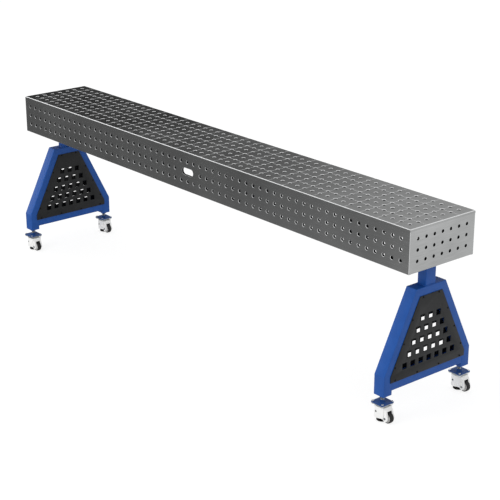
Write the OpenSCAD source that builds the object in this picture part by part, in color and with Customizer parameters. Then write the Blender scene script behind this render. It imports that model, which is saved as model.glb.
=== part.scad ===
// Welding trestle: a perforated steel beam carried by two A-frame trestles
// on levelling castors. Millimetres, +Z up. The origin is on the floor under
// the middle of the beam, which runs along X with its front side at -Y.

/* [Beam] */
// Length of the beam
beam_len = 3000; // [2000:100:4000]
// Width of the beam
beam_w = 400; // [300:50:600]
// Height of the beam
beam_h = 200; // [200:50:300]
// Thickness of the beam's top, side and end plates
plate_t = 12; // [8:1:16]
// Chamfer along the outer edges of the top plate
edge_chamfer = 1.5; // [0.5:0.5:3]

/* [Hole grid] */
// Diameter of the clamping holes
hole_d = 16; // [12:1:20]
// Distance between neighbouring clamping holes
hole_pitch = 50; // [45:5:60]
// Length of the hand slot in the middle of each side
slot_len = 90; // [60:5:120]
// Height of the hand slot
slot_h = 36; // [24:2:40]
// Steel left between the hand slot and the nearest hole
slot_web = 4; // [2:1:6]

/* [Inside the beam] */
// Number of cross ribs
rib_count = 4; // [2:2:6]
// Thickness of a cross rib
rib_t = 8; // [5:1:12]
// Height of a cross rib
rib_h = 150; // [80:5:160]
// Corner cut off a cross rib where the plates are welded
rib_corner = 15; // [8:1:25]
// Thickness of the saddle plate that rests on a post's flange
saddle_t = 10; // [6:1:12]
// Length of the saddle plate along the beam
saddle_len = 120; // [100:5:140]
// Height of the flange's underside above the beam's lower edge
flange_lift = 20; // [15:1:25]
// Thickness of the flange on top of a post
flange_t = 10; // [6:1:12]
// Length of the flange along the beam
flange_len = 100; // [84:2:110]
// Width of the flange across the beam
flange_w = 150; // [130:5:180]
// Diameter of the bolts that hold the beam to the flange
saddle_bolt_d = 12; // [8:1:12]
// Distance between those bolts along the beam
saddle_bolt_x = 68; // [66:1:74]
// Distance between those bolts across the beam
saddle_bolt_y = 110; // [92:2:120]

/* [Trestle frame] */
// Distance from the beam's end to the middle of the trestle
trestle_inset = 80; // [80:5:400]
// Height of the frame from the foot's lower end to the top rail
frame_h = 453; // [350:1:700]
// Depth of the frame along the beam
frame_depth = 60; // [50:2:80]
// Width of the tubes in the plane of the frame
tube_w = 50; // [40:1:60]
// Wall thickness of all the tubes
tube_wall = 3; // [2:0.5:4]
// Outer radius of the tubes' corners
tube_round = 2; // [2:0.5:4]
// Width of the frame at its top
top_w = 184; // [150:2:240]
// Width of the frame across its feet
foot_w = 540; // [400:10:800]
// Height of the bend between leg and foot, above the foot's lower end
knee_h = 94; // [80:1:140]
// Height of the bottom rail above the foot's lower end
rail_lift = 20; // [0:1:25]
// Size of the post along the beam
post_x = 50; // [40:1:50]
// Size of the post across the beam
post_y = 60; // [50:1:72]
// Height of the post between the frame and the beam
post_gap = 107; // [40:1:300]

/* [Panels] */
// Thickness of the sheet panels on both faces of a frame
panel_t = 3; // [1.5:0.5:4]
// Frame left bare around a panel
panel_border = 37; // [32:1:38]
// Side of the square holes
window = 28; // [15:1:32]
// Distance between neighbouring square holes
window_pitch = 50; // [40:1:56]
// Height of the lowest row of square holes above the foot's lower end
window_lift = 116; // [100:1:125]
// Number of rows of square holes
window_rows = 5; // [2:1:5]
// Number of square holes in the top row
window_first = 3; // [1:1:3]
// Diameter of the panel screws
screw_d = 5; // [3:0.5:5]
// Diameter of a panel screw's head
screw_head_d = 9; // [7:0.5:10]
// Height of a panel screw's head
screw_head_h = 2.5; // [1:0.5:4]
// Length of a panel screw under its head
screw_len = 12; // [8:1:16]
// Distance from a panel's edge to its screws
screw_edge = 6.5; // [6:0.5:8]

/* [Jack] */
// Height from the castor's mounting plate to the foot's lower end
jack_gap = 33; // [30:1:60]
// Diameter of the threaded spindle
spindle_d = 16; // [12:1:20]
// Length of the spindle inside the foot
spindle_grip = 55; // [48:1:70]
// Height of the threaded plug in the foot
plug_h = 40; // [25:1:45]
// Height of the lock nut under the foot
lock_nut_h = 10; // [6:1:12]
// Width across flats of the lock nut
lock_nut_af = 27; // [24:1:30]
// Diameter of the boss on the adapter plate
boss_d = 24; // [22:1:30]
// Height of the boss on the adapter plate
boss_h = 9; // [5:1:11]
// Side of the square adapter plate and of the castor's top plate
adapter_w = 72; // [70:1:80]
// Thickness of the adapter plate
adapter_t = 5; // [3:0.5:8]
// Distance between the castor bolts
caster_bolt_pitch = 58; // [57:0.5:60]
// Diameter of the castor bolts
caster_bolt_d = 6; // [4:0.5:6]

/* [Castor] */
// Height from the floor to the top of the castor's plate
caster_h = 84; // [80:1:90]
// Thickness of the castor's top plate
caster_plate_t = 3; // [2:0.5:4]
// Diameter of the wheel
wheel_d = 50; // [46:1:52]
// Width of the wheel
wheel_w = 22; // [18:1:24]
// Thickness of the tyre
tyre_t = 4; // [3:0.5:8]
// Distance from the swivel axis to the wheel's axle
trail = 39; // [38:0.5:42]
// Diameter of the axle bolt
axle_d = 8; // [6:0.5:10]
// Width of the castor housing
housing_w = 56; // [50:1:60]
// Reach of the castor housing in front of the swivel axis
nose = 30; // [26:1:34]
// Wall thickness of the castor housing
housing_wall = 4; // [3:0.5:5]
// Diameter of the rivet that the housing swivels on
kingpin_d = 12; // [8:1:14]

/* [Levelling foot] */
// Diameter of the foot pad
pad_d = 48; // [36:1:50]
// Height of the foot pad
pad_h = 10.5; // [5:0.5:12]
// Height of the raised foot pad above the floor
pad_lift = 1.5; // [1:0.5:2]
// Diameter of the foot's threaded stem
stem_d = 12; // [8:1:13]
// Diameter of the adjusting wheel
knob_d = 26; // [22:1:27]
// Height of the adjusting wheel
knob_h = 7; // [6:0.5:8]
// Number of finger grooves in the adjusting wheel
knob_grooves = 12; // [6:1:16]

/* [Hidden] */
$fn = 64;

// Signs of the four corners: left or right along X, front or rear along Y
left = -1;
right = 1;
front = -1;
rear = 1;

// Radial clearance of everything that turns or slides, and of threads
fit = 0.05;
// Gap between faces that turn against each other
run_gap = 0.3;
// Length by which a cutting solid passes the face that it opens
over = 1;
// Hexagon heads and nuts, as shares of the bolt's diameter
head_share = 0.65;
nut_share = 0.8;
flats_share = 1.6;
// Play of a bolt in its hole
saddle_play = 1;
castor_play = 0.6;
// Screws along a panel's edges, as shares of the way from its middle to its
// corner, or down its slope
top_screw = 0.75;
slope_screws = [0.28, 0.58, 0.88];
bottom_screws = [0.3, 0.9];

// Levels, from the floor up
foot_z = caster_h + adapter_t + jack_gap;
frame_top = foot_z + frame_h;
rail_z = foot_z + rail_lift;
beam_z = frame_top + post_gap;
beam_top = beam_z + beam_h;
flange_z = beam_z + flange_lift;
saddle_z = flange_z + flange_t;
castor_under = caster_h - caster_plate_t;

// Places of the trestles along X and of the feet along Y
trestle_x = beam_len / 2 - trestle_inset;
foot_y = (foot_w - tube_w) / 2;
inner_w = beam_w - 2 * plate_t;
wall_h = beam_h - plate_t;

// Clamping holes: how many fit a length, and where each one lies
function hole_count(length) = floor(length / hole_pitch) - 1;
function hole_at(i, count) = (i - (count - 1) / 2) * hole_pitch;
function hole_places(length) =
    let (count = hole_count(length)) [for (i = [0 : count - 1]) hole_at(i, count)];

// A rib stands midway between two rows of holes
rib_shift = hole_count(beam_len) % 2 == 1 ? 0.5 : 0;
function rib_x(i) = let (even = (i - (rib_count - 1) / 2) * beam_len / rib_count)
    (round(even / hole_pitch - rib_shift) + rib_shift) * hole_pitch;

// Corners of the frame's outline moved inwards by d, as [y, z]
lean = atan2(foot_w / 2 - top_w / 2, frame_h - knee_h);
function top_corner(d) =
    [top_w / 2 - d / cos(lean) + d * tan(lean), frame_top - d];
function knee_corner(d) = [foot_w / 2 - d,
    frame_top - ((foot_w - top_w) / 2 - d + d / cos(lean)) / tan(lean)];
function foot_corner(d) = [foot_w / 2 - d, foot_z];
function mirrored(points) = [for (i = [len(points) - 1 : -1 : 0]) [-points[i][0], points[i][1]]];
function between(a, b, t) = a + (b - a) * t;

// Castor: its own sizes, and levels from the floor up
wheel_r = wheel_d / 2;
hub_r = wheel_r - tyre_t;
side_gap = 1.5;
hub_play = 0.5;
axle_head_d = axle_d + 2;
well_gap = 3;
slot_w = wheel_w + 2 * side_gap;
cheek_w = slot_w + 5 * housing_wall;
cheek_r = axle_head_d / 2 + housing_wall;
cheek_front = 8;
roof_low = wheel_d + 7;
turntable_r = 30;
turntable_h = 5;
ball_d = 4;
ball_ring_r = turntable_r - 6;
plate_round = 5;
turntable_top = castor_under - ball_d;
housing_top = turntable_top - turntable_h;
housing_low = 16;
nose_r = 18;
body_end = trail - 6;
tail_end = trail + cheek_r;
tail_lean = 5;
tail_chamfer = 11;
skirt = 18;
arch_front = -6;
arch_rear = 24;
arch_z = 22;
axle_head_h = 3;
rivet_head_h = 4;
pocket_r = 11;
collar_h = 3;
pad_top = pad_lift + pad_h;
knob_low = pad_top + 2;
bore_low = knob_low + knob_h + run_gap;
bore_top = 40;
pocket_top = turntable_top - 11;
sleeve_r = stem_d / 2 + 3;
sleeve_wall = 3;
stem_low = pad_lift + 2.5;
stem_top = 52;
pad_flat = trail - sqrt(pow(wheel_r, 2) - pow(wheel_r - pad_top, 2)) - side_gap;
recess_r = 3.5;
recess_depth = 3;
recess_x = -11;
recess_z = 46;

module upright(depth) {
    rotate([90, 0, 90]) linear_extrude(height = depth, center = true) children();
}

module rounded_rectangle(l, w, r) {
    square([l, w - 2 * r], center = true);
    square([l - 2 * r, w], center = true);
    for (x = [-1, 1], y = [-1, 1])
        translate([x * (l / 2 - r), y * (w / 2 - r)]) circle(r);
}

module tube_section(l, w) {
    difference() {
        rounded_rectangle(l, w, tube_round);
        tube_bore(l, w);
    }
}

module tube_bore(l, w) {
    rounded_rectangle(l - 2 * tube_wall, w - 2 * tube_wall, max(tube_round - tube_wall, 0.5));
}

module hexagon(across_flats, h) {
    cylinder(h = h, d = across_flats / cos(30), $fn = 6);
}

module at_trestle(side) {
    translate([side * trestle_x, 0, 0]) children();
}

module at_castor(side, end) {
    translate([side * trestle_x, end * foot_y, 0]) children();
}

// Beam

module top_plate() {
    color("#777a7c") difference() {
        translate([0, 0, beam_top - plate_t]) linear_extrude(plate_t) difference() {
            square([beam_len, beam_w], center = true);
            for (x = hole_places(beam_len), y = hole_places(beam_w))
                translate([x, y]) circle(d = hole_d);
        }
        for (end = [-1, 1]) {
            translate([end * beam_len / 2, 0, beam_top]) rotate([0, 45, 0])
                cube([edge_chamfer * sqrt(2), beam_w + 2 * over, edge_chamfer * sqrt(2)],
                     center = true);
            translate([0, end * beam_w / 2, beam_top]) rotate([45, 0, 0])
                cube([beam_len + 2 * over, edge_chamfer * sqrt(2), edge_chamfer * sqrt(2)],
                     center = true);
        }
    }
}

module hand_slot() {
    square([slot_len - slot_h, slot_h], center = true);
    for (end = [-1, 1])
        translate([end * (slot_len - slot_h) / 2, 0]) circle(d = slot_h);
}

function beside_slot(x, z) = abs(x) > (slot_len + hole_d) / 2 + slot_web
    || abs(z) > (slot_h + hole_d) / 2 + slot_web;

module side_plate() {
    color("#5d6062") rotate([90, 0, 0])
    linear_extrude(height = plate_t, center = true) difference() {
        translate([-beam_len / 2, beam_z]) square([beam_len, wall_h]);
        translate([0, beam_z + beam_h / 2]) {
            hand_slot();
            for (x = hole_places(beam_len), z = hole_places(beam_h))
                if (beside_slot(x, z)) translate([x, z]) circle(d = hole_d);
        }
    }
}

module front_side_plate() {
    translate([0, (plate_t - beam_w) / 2, 0]) side_plate();
}

module rear_side_plate() {
    translate([0, (beam_w - plate_t) / 2, 0]) side_plate();
}

module end_plate() {
    color("#9da0a1") upright(plate_t) difference() {
        translate([-inner_w / 2, beam_z]) square([inner_w, wall_h]);
        for (y = hole_places(beam_w), z = hole_places(beam_h))
            translate([y, beam_z + beam_h / 2 + z]) circle(d = hole_d);
    }
}

module left_end_plate() {
    translate([(plate_t - beam_len) / 2, 0, 0]) end_plate();
}

module right_end_plate() {
    translate([(beam_len - plate_t) / 2, 0, 0]) end_plate();
}

module cross_ribs() {
    rib_top = beam_top - plate_t;
    side = inner_w / 2;
    color("#6b6e70") for (i = [0 : rib_count - 1]) translate([rib_x(i), 0, 0])
        upright(rib_t) polygon([
            [-side, rib_top - rib_h], [side, rib_top - rib_h],
            [side, rib_top - rib_corner], [side - rib_corner, rib_top],
            [rib_corner - side, rib_top], [-side, rib_top - rib_corner]
        ]);
}

// Bolted joint between the posts and the beam

module saddle_bolt_places() {
    for (x = [-1, 1], y = [-1, 1])
        translate([x * saddle_bolt_x / 2, y * saddle_bolt_y / 2]) children();
}

module bolted_plate(length, width, thickness) {
    linear_extrude(thickness) difference() {
        square([length, width], center = true);
        saddle_bolt_places() circle(d = saddle_bolt_d + saddle_play);
    }
}

module saddle_plates() {
    color("#6b6e70") for (side = [left, right]) at_trestle(side)
        translate([0, 0, saddle_z]) bolted_plate(saddle_len, inner_w, saddle_t);
}

module post_flanges() {
    color("#2c5296") for (side = [left, right]) at_trestle(side)
        translate([0, 0, flange_z]) bolted_plate(flange_len, flange_w, flange_t);
}

module saddle_bolts() {
    head_h = head_share * saddle_bolt_d;
    nut_h = nut_share * saddle_bolt_d;
    flats = flats_share * saddle_bolt_d;
    grip = flange_t + saddle_t;
    thread_out = 3;
    color("#b9bcbe") for (side = [left, right]) at_trestle(side)
        translate([0, 0, flange_z]) saddle_bolt_places() {
            translate([0, 0, -head_h]) hexagon(flats, head_h);
            cylinder(h = grip + nut_h + thread_out, d = saddle_bolt_d);
            translate([0, 0, grip]) difference() {
                hexagon(flats, nut_h);
                translate([0, 0, -over])
                    cylinder(h = nut_h + 2 * over, d = saddle_bolt_d + 2 * fit);
            }
        }
}

// Welded trestle frame

// A tube between two outer corners and the inner ones that face them, cut off
// along the lines that join each outer corner to its inner one
module mitred_tube(outer_a, outer_b, inner_b, inner_a) {
    from = (outer_a + inner_a) / 2;
    run = (outer_b + inner_b) / 2 - from;
    past_a = (outer_a - inner_a) / norm(outer_a - inner_a) * over;
    past_b = (outer_b - inner_b) / norm(outer_b - inner_b) * over;
    intersection() {
        translate([0, from[0], from[1]]) rotate([atan2(-run[0], run[1]), 0, 0])
            translate([0, 0, -tube_w])
                linear_extrude(norm(run) + 2 * tube_w) tube_section(frame_depth, tube_w);
        upright(frame_depth + 2 * over) polygon([
            outer_a + past_a, outer_b + past_b, inner_b - past_b, inner_a - past_a
        ]);
    }
}

module screw_holes() {
    for (face = [-1, 1])
        translate([face * frame_depth / 2, 0, 0]) upright(2 * tube_wall + over)
            screw_places() circle(d = screw_d + 2 * fit);
}

// Centres of the screws around a panel: top edge, both slopes, bottom edge
module screw_places() {
    d = panel_border + screw_edge;
    high = top_corner(d);
    low = knee_corner(d);
    for (end = [-1, 1]) {
        translate([end * high[0] * top_screw, high[1]]) children();
        for (t = slope_screws) {
            p = between(high, low, t);
            translate([end * p[0], p[1]]) children();
        }
        for (t = bottom_screws)
            translate([end * t * low[0], rail_z + d]) children();
    }
}

module frame_post() {
    color("#2c5296") translate([0, 0, frame_top])
        linear_extrude(flange_z - frame_top) tube_section(post_x, post_y);
}

module top_rail() {
    outer = top_corner(0);
    inner = top_corner(tube_w);
    color("#2c5296") difference() {
        mitred_tube([-outer[0], outer[1]], outer, inner, [-inner[0], inner[1]]);
        screw_holes();
    }
}

module side_legs() {
    color("#2c5296") for (end = [0, 1]) mirror([0, end, 0]) difference() {
        mitred_tube(top_corner(0), knee_corner(0), knee_corner(tube_w), top_corner(tube_w));
        screw_holes();
    }
}

module foot_tubes() {
    color("#2c5296") for (end = [0, 1]) mirror([0, end, 0])
        mitred_tube(knee_corner(0), foot_corner(0), foot_corner(tube_w), knee_corner(tube_w));
}

module bottom_rail() {
    y = foot_w / 2 - tube_w;
    color("#2c5296") difference() {
        mitred_tube([-y, rail_z], [y, rail_z], [y, rail_z + tube_w], [-y, rail_z + tube_w]);
        screw_holes();
    }
}

module panel_outline() {
    high = top_corner(panel_border);
    low = knee_corner(panel_border);
    bottom = [low[0], rail_z + panel_border];
    polygon(concat([high, low, bottom], mirrored([high, low, bottom])));
}

module panel_windows() {
    for (row = [0 : window_rows - 1]) {
        count = window_first + window_rows - 1 - row;
        z = foot_z + window_lift + row * window_pitch;
        for (i = [0 : count - 1])
            translate([(i - (count - 1) / 2) * window_pitch, z])
                square(window, center = true);
    }
}

module panels() {
    color("#333435") for (face = [-1, 1])
        translate([face * (frame_depth + panel_t) / 2, 0, 0]) upright(panel_t)
            difference() {
                panel_outline();
                panel_windows();
                screw_places() circle(d = screw_d + 2 * fit);
            }
}

module panel_screws() {
    color("#1d1e20") for (side = [left, right]) at_trestle(side)
        for (face = [0, 1]) mirror([face, 0, 0]) {
            translate([frame_depth / 2 + panel_t + screw_head_h / 2, 0, 0])
                upright(screw_head_h) screw_places() circle(d = screw_head_d);
            translate([frame_depth / 2 + panel_t - screw_len / 2 + screw_head_h / 2, 0, 0])
                upright(screw_len + screw_head_h) screw_places() circle(d = screw_d);
        }
}

module foot_plugs() {
    color("#5b5e60") for (side = [left, right], end = [front, rear]) at_castor(side, end)
        translate([0, 0, foot_z]) difference() {
            linear_extrude(plug_h) tube_bore(frame_depth, tube_w);
            translate([0, 0, -over])
                cylinder(h = plug_h + 2 * over, d = spindle_d + 2 * fit);
        }
}

module lock_nuts() {
    color("#1e3a6e") for (side = [left, right], end = [front, rear]) at_castor(side, end)
        translate([0, 0, foot_z - lock_nut_h]) difference() {
            hexagon(lock_nut_af, lock_nut_h);
            translate([0, 0, -over])
                cylinder(h = lock_nut_h + 2 * over, d = spindle_d + 2 * fit);
        }
}

// Castor, drawn at its swivel axis with the wheel trailing towards +X

module castor_bolt_places() {
    for (x = [-1, 1], y = [-1, 1])
        translate([x * caster_bolt_pitch / 2, y * caster_bolt_pitch / 2]) children();
}

module square_plate(thickness) {
    linear_extrude(thickness) difference() {
        rounded_rectangle(adapter_w, adapter_w, plate_round);
        castor_bolt_places() circle(d = caster_bolt_d + castor_play);
    }
}

module jack_plate() {
    spindle_top = adapter_t + jack_gap + spindle_grip;
    tip = 1;
    color("#24477f") translate([0, 0, caster_h]) {
        square_plate(adapter_t);
        cylinder(h = adapter_t + boss_h, d = boss_d);
        cylinder(h = spindle_top - tip, d = spindle_d);
        translate([0, 0, spindle_top - tip])
            cylinder(h = tip, r1 = spindle_d / 2, r2 = spindle_d / 2 - tip);
    }
}

module castor_bolts() {
    flats = flats_share * caster_bolt_d;
    head_h = head_share * caster_bolt_d;
    nut_h = nut_share * caster_bolt_d;
    thread_out = 1;
    color("#c3c6c8") castor_bolt_places() {
        translate([0, 0, caster_h + adapter_t]) hexagon(flats, head_h);
        translate([0, 0, castor_under - nut_h - thread_out])
            cylinder(h = thread_out + nut_h + caster_plate_t + adapter_t, d = caster_bolt_d);
        translate([0, 0, castor_under - nut_h]) difference() {
            hexagon(flats, nut_h);
            translate([0, 0, -over])
                cylinder(h = nut_h + 2 * over, d = caster_bolt_d + 2 * fit);
        }
    }
}

// Mounting plate with its ball ring and the rivet that the housing turns on
module castor_plate() {
    rivet_low = pocket_top - run_gap - rivet_head_h;
    color("#a9adb0") {
        translate([0, 0, castor_under]) square_plate(caster_plate_t);
        translate([0, 0, castor_under - ball_d / 2]) rotate_extrude()
            translate([ball_ring_r, 0]) circle(ball_d / 2 - run_gap);
        translate([0, 0, rivet_low]) {
            cylinder(h = rivet_head_h, r = pocket_r - 2);
            cylinder(h = caster_h - rivet_low, d = kingpin_d);
        }
    }
}

module housing_plan(inset) {
    r = nose_r - inset;
    low = -nose + inset;
    half = housing_w / 2 - inset;
    translate([low + r, -half]) square([body_end - inset - low - r, 2 * half]);
    translate([low, r - half]) square([r, 2 * (half - r)]);
    for (end = [-1, 1]) translate([low + r, end * (half - r)]) circle(r);
}

// Side view of the two cheeks that hold the axle, and of the roof between
module cheek_outline() {
    polygon([
        [cheek_front, arch_z], [trail, arch_z], [tail_end, wheel_r],
        [tail_end - tail_lean, housing_top - tail_chamfer],
        [tail_end - tail_lean - tail_chamfer, housing_top],
        [cheek_front, housing_top]
    ]);
    translate([trail, wheel_r]) circle(cheek_r);
}

module wheel_well_outline() {
    well_r = wheel_r + well_gap;
    translate([trail, wheel_r]) circle(well_r);
    translate([trail - well_r, -over]) square([2 * well_r, wheel_r + over]);
    translate([trail, wheel_r - over])
        square([cheek_r + over, roof_low - wheel_r + over]);
}

// The housing's skirt, whose lower edge rises from the foot to the wheel
module skirt_arch() {
    polygon([
        [arch_front, housing_low - over], [arch_front, housing_low],
        [arch_rear, arch_z], [body_end + over, arch_z],
        [body_end + over, housing_low - over]
    ]);
}

module across(width) {
    rotate([90, 0, 0]) linear_extrude(height = width, center = true) children();
}

module swivel_housing() {
    color("#e9e9e6") difference() {
        union() {
            difference() {
                translate([0, 0, housing_low])
                    linear_extrude(housing_top - housing_low) difference() {
                        housing_plan(0);
                        housing_plan(housing_wall);
                    }
                across(housing_w + 2 * over) skirt_arch();
            }
            translate([0, 0, housing_low + skirt])
                linear_extrude(housing_top - housing_low - skirt) housing_plan(0);
            translate([0, 0, bore_low])
                cylinder(h = housing_top - bore_low, r = sleeve_r + sleeve_wall);
            cylinder_between(turntable_r, housing_top - over, turntable_top);
            across(cheek_w) cheek_outline();
        }
        across(slot_w) wheel_well_outline();
        cylinder_between(knob_d / 2 + side_gap, -over, bore_low);
        cylinder_between(sleeve_r + fit, bore_low - over, bore_top + over);
        cylinder_between(pocket_r, bore_top, pocket_top);
        cylinder_between(kingpin_d / 2 + fit, pocket_top - over, turntable_top + over);
        translate([trail, 0, wheel_r]) rotate([90, 0, 0])
            cylinder(h = housing_w + over, d = axle_d + 2 * fit, center = true);
        for (end = [-1, 1])
            translate([recess_x, end * housing_w / 2, recess_z]) rotate([90, 0, 0])
                cylinder(h = 2 * recess_depth, r = recess_r, center = true);
    }
}

module cylinder_between(r, low, high) {
    translate([0, 0, low]) cylinder(h = high - low, r = r);
}

module axle_bolt() {
    color("#8d9193") translate([trail, 0, wheel_r]) rotate([90, 0, 0]) {
        cylinder(h = cheek_w + axle_head_h, d = axle_d, center = true);
        for (end = [-1, 1])
            translate([0, 0, end * (cheek_w + axle_head_h) / 2])
                cylinder(h = axle_head_h, d = axle_head_d, center = true);
    }
}

module wheel_hub() {
    face_step = 0.5;
    web_depth = 5;
    half = wheel_w / 2 - face_step;
    web = wheel_w / 2 - web_depth;
    boss_half = slot_w / 2 - hub_play;
    bore = axle_d / 2 + fit;
    rim = hub_r - 3;
    boss = axle_d;
    color("#dcdcd8") translate([trail, 0, wheel_r]) rotate([90, 0, 0])
        rotate_extrude() polygon([
            [bore, -boss_half], [boss, -boss_half], [boss, -web], [rim, -web],
            [rim, -half], [hub_r, -half], [hub_r, half], [rim, half], [rim, web],
            [boss, web], [boss, boss_half], [bore, boss_half]
        ]);
}

module tyre() {
    half = wheel_w / 2;
    shoulder = 2;
    inner = hub_r + fit;
    color("#232324") translate([trail, 0, wheel_r]) rotate([90, 0, 0])
        rotate_extrude() polygon([
            [inner, -half], [wheel_r - shoulder, -half], [wheel_r, shoulder - half],
            [wheel_r, half - shoulder], [wheel_r - shoulder, half], [inner, half]
        ]);
}

module adjusting_wheel() {
    groove_r = 2;
    collar_low = bore_top + run_gap;
    color("#202122") difference() {
        union() {
            cylinder_between(knob_d / 2, knob_low, knob_low + knob_h);
            cylinder_between(sleeve_r, knob_low, collar_low + collar_h);
            cylinder_between(pocket_r - 1, collar_low, collar_low + collar_h);
        }
        cylinder_between(stem_d / 2 + fit, knob_low - over, collar_low + collar_h + over);
        for (i = [0 : knob_grooves - 1]) rotate(i * 360 / knob_grooves)
            translate([knob_d / 2 + groove_r / 2, 0, knob_low - over])
                cylinder(h = knob_h + 2 * over, r = groove_r);
    }
}

module levelling_foot() {
    color("#1c1c1d") {
        difference() {
            cylinder_between(pad_d / 2, pad_lift, pad_top);
            translate([pad_flat, -pad_d / 2, pad_lift - over])
                cube([pad_d, pad_d, pad_h + 2 * over]);
            cylinder_between(stem_d / 2, stem_low, pad_top + over);
        }
        cylinder_between(stem_d / 2, stem_low, stem_top);
    }
}

// One line per sub-part
top_plate();
front_side_plate();
rear_side_plate();
left_end_plate();
right_end_plate();
cross_ribs();
saddle_plates();
post_flanges();
saddle_bolts();
at_trestle(left) frame_post();  // left_post
at_trestle(left) top_rail();  // left_top_rail
at_trestle(left) side_legs();  // left_side_legs
at_trestle(left) foot_tubes();  // left_foot_tubes
at_trestle(left) bottom_rail();  // left_bottom_rail
at_trestle(left) panels();  // left_panels
at_trestle(right) frame_post();  // right_post
at_trestle(right) top_rail();  // right_top_rail
at_trestle(right) side_legs();  // right_side_legs
at_trestle(right) foot_tubes();  // right_foot_tubes
at_trestle(right) bottom_rail();  // right_bottom_rail
at_trestle(right) panels();  // right_panels
panel_screws();
foot_plugs();
lock_nuts();

at_castor(left, front) jack_plate();  // left_front_jack_plate
at_castor(left, front) castor_bolts();  // left_front_castor_bolts
at_castor(left, front) castor_plate();  // left_front_castor_plate
at_castor(left, front) swivel_housing();  // left_front_swivel_housing
at_castor(left, front) axle_bolt();  // left_front_axle_bolt
at_castor(left, front) wheel_hub();  // left_front_wheel_hub
at_castor(left, front) tyre();  // left_front_tyre
at_castor(left, front) adjusting_wheel();  // left_front_adjusting_wheel
at_castor(left, front) levelling_foot();  // left_front_levelling_foot

at_castor(left, rear) jack_plate();  // left_rear_jack_plate
at_castor(left, rear) castor_bolts();  // left_rear_castor_bolts
at_castor(left, rear) castor_plate();  // left_rear_castor_plate
at_castor(left, rear) swivel_housing();  // left_rear_swivel_housing
at_castor(left, rear) axle_bolt();  // left_rear_axle_bolt
at_castor(left, rear) wheel_hub();  // left_rear_wheel_hub
at_castor(left, rear) tyre();  // left_rear_tyre
at_castor(left, rear) adjusting_wheel();  // left_rear_adjusting_wheel
at_castor(left, rear) levelling_foot();  // left_rear_levelling_foot

at_castor(right, front) jack_plate();  // right_front_jack_plate
at_castor(right, front) castor_bolts();  // right_front_castor_bolts
at_castor(right, front) castor_plate();  // right_front_castor_plate
at_castor(right, front) swivel_housing();  // right_front_swivel_housing
at_castor(right, front) axle_bolt();  // right_front_axle_bolt
at_castor(right, front) wheel_hub();  // right_front_wheel_hub
at_castor(right, front) tyre();  // right_front_tyre
at_castor(right, front) adjusting_wheel();  // right_front_adjusting_wheel
at_castor(right, front) levelling_foot();  // right_front_levelling_foot

at_castor(right, rear) jack_plate();  // right_rear_jack_plate
at_castor(right, rear) castor_bolts();  // right_rear_castor_bolts
at_castor(right, rear) castor_plate();  // right_rear_castor_plate
at_castor(right, rear) swivel_housing();  // right_rear_swivel_housing
at_castor(right, rear) axle_bolt();  // right_rear_axle_bolt
at_castor(right, rear) wheel_hub();  // right_rear_wheel_hub
at_castor(right, rear) tyre();  // right_rear_tyre
at_castor(right, rear) adjusting_wheel();  // right_rear_adjusting_wheel
at_castor(right, rear) levelling_foot();  // right_rear_levelling_foot
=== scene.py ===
# A perforated steel welding beam on two blue trestles with levelling castors. Metres, +Z up, with
# the origin on the floor under the middle of the beam. Sizes are written in millimetres.
from math import acos, asin, atan2, cos, degrees, pi, radians, sin, sqrt, tan

import bmesh
import bpy
from mathutils import Matrix, Vector


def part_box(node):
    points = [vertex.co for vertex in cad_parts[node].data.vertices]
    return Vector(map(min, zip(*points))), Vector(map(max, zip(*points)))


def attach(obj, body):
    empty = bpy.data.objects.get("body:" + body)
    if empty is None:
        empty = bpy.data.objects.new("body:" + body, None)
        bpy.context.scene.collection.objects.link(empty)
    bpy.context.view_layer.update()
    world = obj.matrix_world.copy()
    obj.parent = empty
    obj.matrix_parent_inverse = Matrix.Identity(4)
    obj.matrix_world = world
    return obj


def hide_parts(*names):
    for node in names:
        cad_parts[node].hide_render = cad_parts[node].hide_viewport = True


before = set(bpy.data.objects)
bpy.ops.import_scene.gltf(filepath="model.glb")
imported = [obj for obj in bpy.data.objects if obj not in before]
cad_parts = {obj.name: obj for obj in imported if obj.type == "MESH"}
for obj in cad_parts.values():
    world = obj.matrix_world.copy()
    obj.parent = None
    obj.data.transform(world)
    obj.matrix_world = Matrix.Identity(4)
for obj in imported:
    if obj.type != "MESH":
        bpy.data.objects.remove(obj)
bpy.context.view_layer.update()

# Studio: a pale floor under a soft, even light, seen from where the photograph was taken.
# Bare metal and gloss mirror a darker studio that brightens to one side and has a pale ceiling
# and a white card on the left, so a long steel face shades slowly from dark to light.
MM = 0.001
scene = bpy.context.scene
scene.view_settings.view_transform = "Standard"

camera_place = (5.1832, -4.1469, 2.7456)
camera_azimuth = 50.01
camera_dip = 20.01
photo_px = 500
focal_px = 1385.1
sensor_mm = 36
camera = bpy.data.objects.new("camera", bpy.data.cameras.new("camera"))
camera.location = camera_place
camera.rotation_euler = (radians(90 - camera_dip), 0, radians(camera_azimuth))
camera.data.sensor_width = sensor_mm
camera.data.lens = focal_px / photo_px * sensor_mm
scene.collection.objects.link(camera)
scene.camera = camera


def add(tree, kind, inputs=None, **settings):
    """A shader node with its settings. Each input is a value, or the node or socket that feeds it."""
    made = tree.nodes.new("ShaderNode" + kind)
    for name, value in settings.items():
        setattr(made, name, value)
    for name, value in (inputs or {}).items():
        if isinstance(value, bpy.types.Node):
            value = value.outputs[0]
        if isinstance(value, bpy.types.NodeSocket):
            tree.links.new(value, made.inputs[name])
        else:
            made.inputs[name].default_value = value
    return made


def colour(code):
    """An sRGB hex colour as the linear values that a socket takes."""
    parts = [int(code[i:i + 2], 16) / 255 for i in (1, 3, 5)]
    return [*(p / 12.92 if p <= 0.04045 else ((p + 0.055) / 1.055) ** 2.4 for p in parts), 1]


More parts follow.
